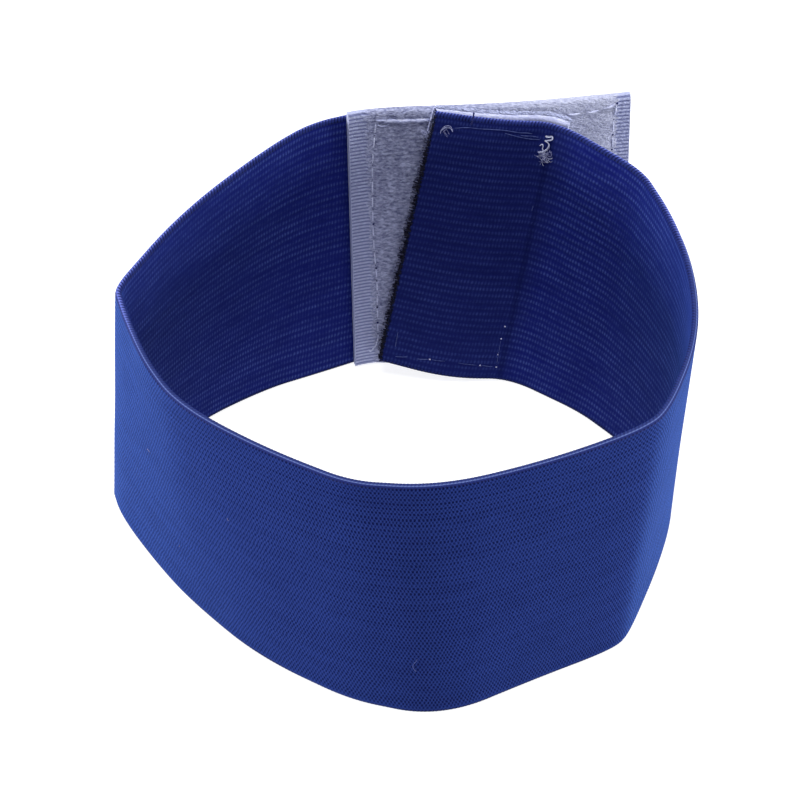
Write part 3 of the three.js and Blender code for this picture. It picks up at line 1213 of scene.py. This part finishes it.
@dataclass
class Band:
    """The strip of woven elastic, with the whipped turns of weft along its rim and foot."""

    bench: Bench
    thickness: float = 1.2
    start: float = 0.6
    bead: float = 0.6
    picks: int = 514
    courses: int = 82
    column: float = 1.25
    rib_depth: float = 0.1
    course_depth: float = 0.03
    swell: float = 0.12
    swell_size: tuple[float, float] = (14.0, 22.0)
    turn_depth: float = 0.035
    around: int = 10
    steps_per_pick: int = 6
    yarn: float = 0.17
    layers: tuple[float, ...] = (-0.42, 0.0, 0.42)
    tidy_top: float = 6.0

    def __post_init__(self) -> None:
        """Works out the weave's spacing."""
        course = self.bench.course
        self.pick = course.length / self.picks
        self.course = course.width / self.courses
        self.rib = 2 * self.course

    def relief(self, length: float, height: float, face: Face) -> float:
        """How far the cloth stands out: ribs inside, and faint lines of courses outside."""
        crest = 0.5 + 0.5 * math.cos(math.tau * height / self.rib)
        bulge = noise.noise(Vector((length / self.swell_size[0], height / self.swell_size[1], 3.1)))
        depth = self.rib_depth if face is Face.INSIDE else self.course_depth
        return depth * (crest - 1) + face.value * self.swell * bulge

    def inner_face(self, length: float, height: float) -> float:
        """The depth of the inner face."""
        return -self.thickness / 2 - self.relief(length, height, Face.INSIDE)

    def outer_face(self, length: float, height: float) -> float:
        """The depth of the outer face."""
        return self.thickness / 2 + self.relief(length, height, Face.OUTSIDE)

    def cloth(self) -> Piece:
        """The elastic itself."""
        half = self.thickness / 2
        course = self.bench.course
        finish = WovenElastic("elastic_weave", roughness=0.85, specular=0.04, sheen=0.3,
                              sheen_tint=BLUE_SHEEN, width=course.width, length=course.length,
                              pick=self.pick, course=self.course)
        strip = Strip(self.start, course.length, self.bead, course.width - self.bead, -half, half,
                      column=self.column, row=self.rib / 4)
        made = self.bench.bent("woven_band", strip.flat(self.relief), finish, Part.ELASTIC)
        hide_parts(Part.ELASTIC.node)
        course.width * MM
        return made

    def whipping(self, name: str, height: float, facing: int) -> Piece:
        """Weft turns round one edge, each a slanted ridge.

        Args:
            name: The piece's name.
            height: The height of the edge's middle line.
            facing: 1 on the rim and -1 at the foot.

        Returns:
            The piece.
        """
        end = self.bench.course.length
        columns = round((end - self.start) / self.pick * self.steps_per_pick)
        bm = bmesh.new()
        bmesh.ops.create_grid(bm, x_segments=columns, y_segments=self.around, size=0.5)
        for vert in bm.verts:
            length = self.start + (vert.co.x + 0.5) * (end - self.start)
            angle = (vert.co.y + 0.5) * math.tau
            slant = 0.5 * math.cos(angle)
            ridge = abs(math.sin(math.pi * (length / self.pick + slant)))
            reach = self.bead - self.turn_depth * (1 - ridge)
            upward = math.sin(angle) * reach * facing
            vert.co = Vector((length, height + upward, math.cos(angle) * reach))
        bmesh.ops.remove_doubles(bm, verts=bm.verts, dist=1e-4)
        bmesh.ops.holes_fill(bm, edges=[edge for edge in bm.edges if edge.is_boundary])
        finish = WhippedRim("whipped_rim", roughness=0.7, specular=0.08, sheen=0.12, sheen_tint=BLUE_SHEEN,
                            bead=self.bead, pick=self.pick, middle=self.bench.course.width / 2)
        return self.bench.bent(name, bm, finish, Part.ELASTIC)

    def frayed_end(self, name: str, length: float, way: int, reach: float, seed: int) -> Piece:
        """Cut yarn ends that stick out of one end of the band.

        Args:
            name: The piece's name.
            length: The cut's length along the band.
            way: 1 where the yarns point on along the band, -1 where they point back.
            reach: How far out the longest yarns go.
            seed: Starts their random forms.

        Returns:
            The piece.
        """
        picker = random.Random(seed)
        width = self.bench.course.width
        yarns = []
        height = 0.4
        while height < width - 0.3:
            clump = max(0.0, 0.35 + noise.noise(Vector((height * 0.55, 0.0, seed))))
            clump *= min(1.0, max(0.1, (width - self.tidy_top - height) / 3))
            for layer in self.layers:
                drawn = reach * (0.07 + clump * picker.uniform(0.3, 1.0))
                droop = picker.gauss(0, 0.2)
                bow = picker.gauss(0, 0.15)
                root = Vector((length - way * 0.3, height + picker.gauss(0, 0.06), layer))
                tip = Vector((length + way * drawn, root.y + droop, layer + bow))
                yarns.append(tube([root, root.lerp(tip, 0.5), tip], self.yarn, sides=5, taper=0.6))
            height += picker.uniform(0.32, 0.46)
        return self.bench.bent(name, gathered(yarns), CUT_YARN, Part.ELASTIC)

    def build(self) -> None:
        """Makes the elastic, both of its edges and both of its ends."""
        course = self.bench.course
        self.cloth()
        self.whipping("rim_whipping", course.width - self.bead, facing=1)
        self.whipping("foot_whipping", self.bead, facing=-1)
        self.frayed_end("tail_fray", course.length, way=1, reach=1.4, seed=21)
        self.frayed_end("outer_fray", self.start, way=-1, reach=0.6, seed=22)


@dataclass
class LoopTape:
    """The soft tape sewn inside the outer end, with its pile, its selvedges and its box seam."""

    bench: Bench
    band: Band
    look: NappedTape = LOOP_PILE
    raised: float = 1.5
    foot: float = 0.4
    back: float = -0.9
    thickness: float = 1.4
    sag: float = 0.9
    outer_drop: float = 2.0
    column: float = 0.6
    edge_drop: float = 0.25
    edge_run: float = 0.5
    top_slope: float = 0.15
    rib_depth: float = 0.08
    selvedge_depth: float = 0.3
    pile_depth: float = 0.12
    fine_share: float = 0.6
    groove_depth: float = 0.25
    groove_width: float = 0.5
    loops: int = 1400
    seed: int = 11
    loop_radius: float = 0.05
    top_seam: Places = ((48.1, 59.8), (44.0, 59.6), (39.7, 59.6), (26.0, 59.4), (15.0, 58.9), (8.3, 58.9),
                        (5.0, 59.5), (2.7, 60.1))
    left_seam: Places = ((48.1, 59.8), (48.9, 51.0), (49.1, 40.4), (49.0, 30.7), (48.5, 21.6), (48.5, 11.0),
                         (48.4, 8.1))
    right_seam: Places = ((2.7, 60.1), (3.3, 56.5), (3.4, 50.2), (3.4, 30.0), (3.3, 5.0))
    foot_seam: Places = ((47.6, 4.6), (30.0, 4.4), (3.3, 5.0))
    ridges: tuple[Places, ...] = (((48.2, 59.7), (46.8, 59.8), (45.6, 59.8)),
                                  ((48.0, 58.9), (47.2, 58.5), (46.2, 58.5), (45.5, 58.9)))
    wide_ridge: Places = ((46.4, 59.5), (45.1, 59.6), (43.5, 59.3), (41.5, 59.4), (39.8, 59.3), (38.0, 59.5))
    needle_holes: Places = ((49.0, 35.6), (48.6, 24.7), (48.5, 21.6), (48.5, 14.9), (48.5, 11.0), (48.4, 8.1))
    thread_end: Places = ((48.4, 8.1), (48.6, 6.6), (49.2, 5.0), (50.0, 3.9), (50.5, 4.2))

    def __post_init__(self) -> None:
        """Sorts the seams' places, so that the seam can be found from a height or a length."""
        left = sorted((height, length) for length, height in self.left_seam)
        top = sorted(self.top_seam)
        self.left_heights, self.left_lengths = zip(*left)
        self.top_lengths, self.top_heights = zip(*top)

    @property
    def width(self) -> float:
        """The tape's width, which lies along the band."""
        return self.look.width

    def seam_gap(self, length: float, height: float) -> float:
        """The distance to the nearest line of the box seam, whose foot and right side are nearly straight."""
        left = np.interp(height, self.left_heights, self.left_lengths)
        top = np.interp(length, self.top_lengths, self.top_heights)
        foot = 4.5
        right = 3.3
        return min(abs(height - top + self.sag), abs(height - foot), abs(length - right), abs(length - left))

    def relief(self, length: float, height: float, face: Face) -> float:
        """Ribs on the selvedges, matted pile between them, grooves along the seams and a sloping top."""
        if face is Face.OUTSIDE:
            return 0.0
        edge = min(height - self.foot, self.raised + self.bench.course.width - height)
        above = max(0.0, height - self.bench.course.width)
        rounded = -self.edge_drop * max(0.0, 1 - edge / self.edge_run) - self.top_slope * above
        from_left = self.width + self.look.lean * height - length
        if length < self.look.right_selvedge or from_left < self.look.left_selvedge:
            rib = 0.5 + 0.5 * math.cos(math.tau * height / self.look.rib)
            return rounded + self.rib_depth * rib - self.selvedge_depth
        pile = noise.noise(Vector((length * 0.9, height * 2.2, 7.0)))
        pile += self.fine_share * noise.noise(Vector((length * 2.1, height * 4.5, 1.0)))
        groove = math.exp(-((self.seam_gap(length, height) / self.groove_width) ** 2))
        return rounded + self.pile_depth * pile - self.groove_depth * groove

    def face_depth(self, length: float, height: float) -> float:
        """The depth of the pile's face."""
        return self.back - self.thickness - self.relief(length, height, Face.INSIDE)

    def cloth(self) -> Piece:
        """The tape itself."""
        width = self.bench.course.width
        strip = Strip(0.0, self.width, self.foot, self.raised + width, self.back - self.thickness, self.back,
                      column=self.column, row=self.look.rib / 3, lean=self.look.lean)
        made = self.bench.bent("loop_cloth", strip.flat(self.relief), self.look, Part.LOOP_TAPE)
        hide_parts(Part.LOOP_TAPE.node)
        self.width * MM
        width * MM
        return made

    def nap(self) -> Piece:
        """Fine loops of fibre that stand out of the pile."""
        picker = random.Random(self.seed)
        arc = [Vector((t - 0.5, 0, 0.5 * math.sin(math.pi * t) - 0.15)) for t in (0, 0.25, 0.5, 0.75, 1)]
        template = tube(arc, radius=self.loop_radius, sides=4)
        flip = Matrix.Rotation(math.pi, 4, "X")
        right = self.look.right_selvedge + 0.3
        left = self.width - self.look.left_selvedge - 0.3
        low = self.foot + 0.2
        high = self.raised + self.bench.course.width - 0.2
        places = []
        for _ in range(self.loops):
            length = picker.uniform(right, left)
            height = picker.uniform(low, high)
            turn = Matrix.Rotation(picker.gauss(0.0, 0.5), 4, "Z")
            stretch = Matrix.Diagonal((picker.uniform(0.6, 1.6), 1.0, picker.uniform(0.25, 0.6), 1.0))
            at = Matrix.Translation((length, height, self.face_depth(length, height)))
            places.append(at @ turn @ flip @ stretch)
        return self.bench.bent("loop_nap", scattered(template, places), self.look, Part.LOOP_TAPE)

    def seams(self) -> None:
        """The box seam on the pile, its needle holes, and the same seam on the elastic outside."""
        inside = Sewing(self.bench, Part.LOOP_TAPE, Face.INSIDE, self.face_depth)
        lines = (self.top_seam, self.left_seam, self.right_seam, self.foot_seam)
        parts = [inside.seam(line, radius=0.17, proud=0.12) for line in lines]
        ridges = [inside.laid(self.wide_ridge, radius=0.42, proud=0.0)]
        ridges += [inside.laid(line, radius=0.2, proud=0.12) for line in self.ridges]
        inside.dress("seam_ridge", ridges, SEAM_PILE)
        parts.append(inside.laid(self.thread_end, radius=0.13, proud=0.1))
        inside.dress("tape_stitches", parts, PALE_THREAD)
        holes = [inside.knots(self.needle_holes, size=0.26),
                 inside.knots(inside.ends(self.left_seam), size=0.12),
                 inside.knots(inside.ends(self.right_seam), size=0.26)]
        inside.dress("tape_needle_holes", holes, NAVY_THREAD)
        outside = Sewing(self.bench, Part.ELASTIC, Face.OUTSIDE, self.band.outer_face)
        low_top = [(length, height - self.outer_drop) for length, height in self.top_seam]
        lines = (low_top, self.left_seam, self.right_seam[1:], self.foot_seam)
        stitches = [outside.seam(line, radius=0.14, proud=0.06) for line in lines]
        outside.dress("outer_stitches", stitches, NAVY_THREAD)
        dots = [outside.knots(outside.ends(line), size=0.16) for line in lines]
        outside.dress("outer_stitch_dots", dots, PALE_THREAD)

    def build(self) -> None:
        """Makes the tape, its nap and its seams."""
        self.cloth()
        self.nap()
        self.seams()


@dataclass
class HookTape:
    """The stiff tape sewn outside the tail, with rows of hooks that catch the pile."""

    bench: Bench
    width: float = 26.2
    raised_at_start: float = 0.8
    raised_at_tail: float = -0.3
    back: float = 0.9
    ground: float = 0.45
    hook_height: float = 0.75
    rows: int = 42
    columns: int = 18
    margin: float = 1.2
    fibres: int = 640
    row_seed: int = 5
    edge_seed: int = 8
    pile_seed: int = 17
    hook_wire: float = 0.1
    selvedge_line: Places = ((0.1, -0.2), (0.3, 0.1), (0.4, 1.8), (0.5, 4.2), (0.6, 6.9))
    tuft_place: tuple[float, float] = (0.9, 54.4)

    def raised(self, share: float) -> float:
        """How far the tape stands above the elastic's rim, that share of the way to the tail's end."""
        return self.raised_at_start + (self.raised_at_tail - self.raised_at_start) * share

    def cloth(self) -> Piece:
        """The tape's woven ground."""
        course = self.bench.course
        strip = Strip(course.length - self.width, course.length, self.raised_at_start,
                      self.raised_at_start + course.width, self.back, self.back + self.ground,
                      column=1.0, row=1.0, climb=self.raised_at_tail - self.raised_at_start, crisp=math.pi)
        made = self.bench.bent("hook_cloth", strip.flat(lambda length, height, face: 0.0), HOOK_GROUND,
                               Part.HOOK_TAPE)
        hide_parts(Part.HOOK_TAPE.node)
        self.width * MM
        course.width * MM
        return made

    def crook(self) -> Shape:
        """One hook, which points along its own x at the top."""
        shape = ((0, 0, -0.1), (0, 0, 0.25), (0, 0, 0.55), (0.1, 0, 0.75), (0.28, 0, 0.78), (0.4, 0, 0.62))
        size = self.hook_height / max(point[2] for point in shape)
        return tube([Vector(point) * size for point in shape], self.hook_wire, sides=5)

    def hooks(self) -> Piece:
        """Rows of small crooked hooks."""
        picker = random.Random(self.row_seed)
        course = self.bench.course
        spacing = (course.width - 2 * self.margin) / (self.rows - 1)
        places = []
        for row in range(self.rows):
            for column in range(self.columns):
                share = (column + 0.5) / self.columns
                length = course.length - self.width * (1 - share)
                height = self.raised(share) + self.margin + row * spacing
                turn = Matrix.Rotation(picker.choice((0.0, math.pi)) + picker.gauss(0, 0.3), 4, "Z")
                at = Vector((length + picker.gauss(0, 0.08), height, self.back + self.ground))
                places.append(Matrix.Translation(at) @ turn)
        return self.bench.bent("tape_hooks", scattered(self.crook(), places), HOOK_WIRE, Part.HOOK_TAPE)

    def edge_hooks(self) -> Piece:
        """Hooks at the cut edge, which lean out past it."""
        picker = random.Random(self.edge_seed)
        course = self.bench.course
        places = []
        height = 1.0
        while height < course.width - 3.0:
            lean = Matrix.Rotation(picker.uniform(0.9, 1.7), 4, "Y")
            twist = Matrix.Rotation(picker.uniform(-1.2, 1.2), 4, "Z")
            past = picker.uniform(-0.1, 0.25)
            at = Vector((course.length + past, height, self.back + picker.uniform(0.0, 0.5)))
            places.append(Matrix.Translation(at) @ lean @ twist)
            height += picker.uniform(0.45, 0.95)
        return self.bench.bent("edge_hooks", scattered(self.crook(), places), HOOK_WIRE, Part.HOOK_TAPE)

    def selvedge(self) -> Piece:
        """The pale thread of selvedge that stands out at the top of the cut edge."""
        course = self.bench.course
        top = course.width + self.raised_at_tail
        line = smooth_path([(course.length + reach, top - drop, self.back + 0.2)
                            for reach, drop in self.selvedge_line])
        return self.bench.bent("hook_selvedge", tube(line, radius=0.24, taper=0.7), TUFT, Part.HOOK_TAPE)

    def tuft(self) -> Piece:
        """A small pale tuft at the cut edge."""
        sewing = Sewing(self.bench, Part.HOOK_TAPE, Face.OUTSIDE, lambda length, height: 0.2)
        past, height = self.tuft_place
        fibres = sewing.fuzz((self.bench.course.length + past, height), reach=0.7, count=40, seed=41)
        return sewing.dress("edge_tuft", [fibres], TUFT)

    def caught_pile(self) -> Piece:
        """Fibres of the pile that the hooks have drawn up over the tape's top edge."""
        picker = random.Random(self.pile_seed)
        course = self.bench.course
        curls = []
        for _ in range(self.fibres):
            share = picker.random()
            length = course.length - self.width * (1 - share)
            top = course.width + self.raised(share)
            size = picker.uniform(0.4, 1.1)
            rise = picker.gauss(0.0, 0.16)
            depth = self.back + picker.uniform(0.1, 0.8)
            line = [Vector((length + size * (t - 0.5), top + rise * t + 0.22 * math.sin(math.pi * t),
                            depth + 0.2 * t)) for t in (0, 0.33, 0.66, 1)]
            curls.append(tube(line, picker.uniform(0.05, 0.09), sides=4))
        return self.bench.bent("caught_pile", gathered(curls), LOOP_PILE, Part.HOOK_TAPE)

    def build(self) -> None:
        """Makes the tape, its hooks and its loose edge."""
        self.cloth()
        self.hooks()
        self.caught_pile()
        self.edge_hooks()
        self.selvedge()
        self.tuft()


@dataclass
class TailSewing:
    """Threads on the tail's inner face, placed by how far back from the tail's end they are."""

    bench: Bench
    band: Band
    top_threads: tuple[Places, ...] = (
        ((4.0, 57.3), (6.9, 57.9), (9.3, 58.0), (12.3, 58.2), (14.7, 58.2), (17.3, 57.9), (18.9, 57.9),
         (20.0, 57.7)),
        ((14.3, 57.6), (16.0, 57.3), (17.5, 57.0), (19.1, 56.7), (20.4, 56.6), (21.8, 56.6)),
        ((17.5, 57.4), (18.5, 57.3), (19.9, 57.3), (21.4, 57.1)))
    foot_threads: tuple[Places, ...] = (((2.2, 2.1), (5.1, 3.1)), ((6.2, 3.0), (8.9, 3.6)),
                                        ((8.9, 3.6), (12.1, 3.9)), ((13.6, 3.9), (18.4, 3.6)),
                                        ((18.4, 3.6), (21.2, 3.3)))
    side_threads: tuple[Places, ...] = (((21.6, 3.3), (21.5, 10.3)), ((2.2, 3.9), (2.1, 9.0)),
                                        ((22.7, 40.6), (22.8, 42.2)))
    bright_dots: Places = ((8.9, 3.6), (18.4, 3.6), (21.8, 13.3), (21.5, 10.3), (21.5, 6.3), (21.6, 3.3))
    arch: Places = ((1.8, 55.9), (1.9, 56.6), (2.3, 57.2), (2.8, 57.5), (3.4, 57.5), (3.9, 57.1), (4.2, 56.6))
    rays: tuple[Places, ...] = (((2.3, 56.0), (2.4, 56.6), (2.9, 57.0)),
                                ((2.4, 56.5), (2.8, 55.9), (3.4, 55.3)),
                                ((2.9, 56.8), (3.3, 56.3), (3.5, 55.9)))
    nest_lines: tuple[Places, ...] = (
        ((22.6, 57.5), (23.3, 57.6), (23.9, 57.8), (24.1, 57.5), (23.8, 57.1), (23.2, 56.8), (22.6, 56.5)),
        ((22.8, 56.5), (23.4, 56.3), (23.6, 55.8), (23.4, 55.1), (23.0, 54.6), (22.3, 54.2), (21.7, 53.8)),
        ((21.8, 55.4), (22.2, 55.9), (22.5, 55.5), (22.5, 54.8), (22.9, 54.5)))
    nest_rim: tuple[Places, ...] = (((23.8, 54.7), (24.5, 54.2), (24.4, 53.4)),
                                    ((21.8, 52.7), (22.4, 53.5), (23.1, 54.0)),
                                    ((24.0, 52.5), (23.3, 51.9), (22.7, 52.4)),
                                    ((21.9, 54.0), (22.9, 53.7), (23.9, 53.0)))
    nest_fuzz: tuple[float, float] = (23.1, 53.4)
    seed: int = 31
    cloth_top: float = 58.8
    stub: Places = ((7.5, 58.9, 0.1), (7.55, 59.6, 0.25), (7.6, 60.4, 0.1), (7.6, 61.2, -0.1))

    def from_end(self, places: Line) -> list[tuple[float, ...]]:
        """Places counted from the band's start instead of from the tail's end."""
        return [(self.bench.course.length - place[0], *place[1:]) for place in places]

    def strands(self, sewing: Sewing, lines: Sequence[Places], count: int, radius: float,
                spread: float) -> list[Shape]:
        """Fine strands that follow each line side by side.

        Args:
            sewing: The needlework that they belong to.
            lines: The lines, counted back from the tail's end.
            count: How many strands each line has.
            radius: A strand's radius.
            spread: How far apart they lie.

        Returns:
            The strands as flat bmeshes.
        """
        picker = random.Random(self.seed)
        strands = []
        for line in lines:
            for _ in range(count):
                shift = Vector((picker.gauss(0, spread), picker.gauss(0, spread)))
                moved = [(length + shift.x, height + shift.y) for length, height in self.from_end(line)]
                strands.append(sewing.laid(moved, radius, picker.uniform(0.1, 0.3)))
        return strands

    def build(self) -> None:
        """Makes the fine seams, the bright dots, the tack, the nest and the dark stub."""
        sewing = Sewing(self.bench, Part.ELASTIC, Face.INSIDE, self.band.inner_face)
        fine = [sewing.laid(self.from_end(line), radius=0.075, proud=0.05)
                for line in (*self.top_threads, *self.foot_threads, *self.side_threads)]
        sewing.dress("tail_threads", fine, FINE_THREAD)
        dots = [sewing.knots(self.from_end(self.bright_dots), size=0.17)]
        sewing.dress("tail_thread_dots", dots, PALE_THREAD)
        tack = self.strands(sewing, [self.arch], count=4, radius=0.035, spread=0.14)
        sewing.dress("tail_tack", tack, TACK_THREAD)
        nest_centre = self.from_end([self.nest_fuzz])[0]
        loose = self.strands(sewing, self.rays, count=2, radius=0.04, spread=0.1)
        loose += self.strands(sewing, self.nest_rim, count=3, radius=0.04, spread=0.12)
        loose.append(sewing.fuzz(nest_centre, reach=1.15, count=60, seed=35, radius=0.035))
        sewing.dress("loose_fibres", loose, LOOSE_FIBRE)
        nest = self.strands(sewing, self.nest_lines, count=5, radius=0.04, spread=0.08)
        nest.append(sewing.fuzz(nest_centre, reach=1.2, count=26, seed=36, radius=0.04))
        sewing.dress("thread_nest", nest, PALE_THREAD)
        stub = [Vector((length, height, self.band.inner_face(length, min(height, self.cloth_top)) - proud))
                for length, height, proud in self.from_end(self.stub)]
        self.bench.bent("dark_stub", tube(smooth_path(stub), radius=0.19), NAVY_THREAD, Part.ELASTIC)


@dataclass
class Lint:
    """Short pale fibres that have caught on the outer face."""

    bench: Bench
    band: Band
    curls: tuple[Places, ...] = (((130.0, 34.3), (130.6, 34.8), (131.3, 34.6)),
                                 ((139.0, 15.5), (139.1, 15.2), (139.0, 14.9)),
                                 ((152.6, 36.0), (152.7, 35.7), (152.9, 35.5)))
    hair: Places = ((188.6, 15.4), (187.8, 13.5), (188.4, 11.7))

    def build(self) -> None:
        """Lays the fibres on the face."""
        sewing = Sewing(self.bench, Part.ELASTIC, Face.OUTSIDE, self.band.outer_face)
        sewing.dress("lint", [sewing.laid(curl, radius=0.06, proud=0.1) for curl in self.curls], LOOSE_FIBRE)
        sewing.dress("lint_hair", [sewing.laid(self.hair, radius=0.07, proud=0.1)], FINE_THREAD)


def main() -> None:
    """Builds the studio and the armband, and reports each piece."""
    logging.basicConfig(level=logging.INFO, format="%(name)s %(message)s")
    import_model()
    course = Course()
    bench = Bench(course)
    Studio(course).build()
    band = Band(bench)
    tapes = (LoopTape(bench, band), HookTape(bench))
    for assembly in (band, *tapes, TailSewing(bench, band), Lint(bench, band)):
        assembly.build()


if __name__ == "__main__":
    main()
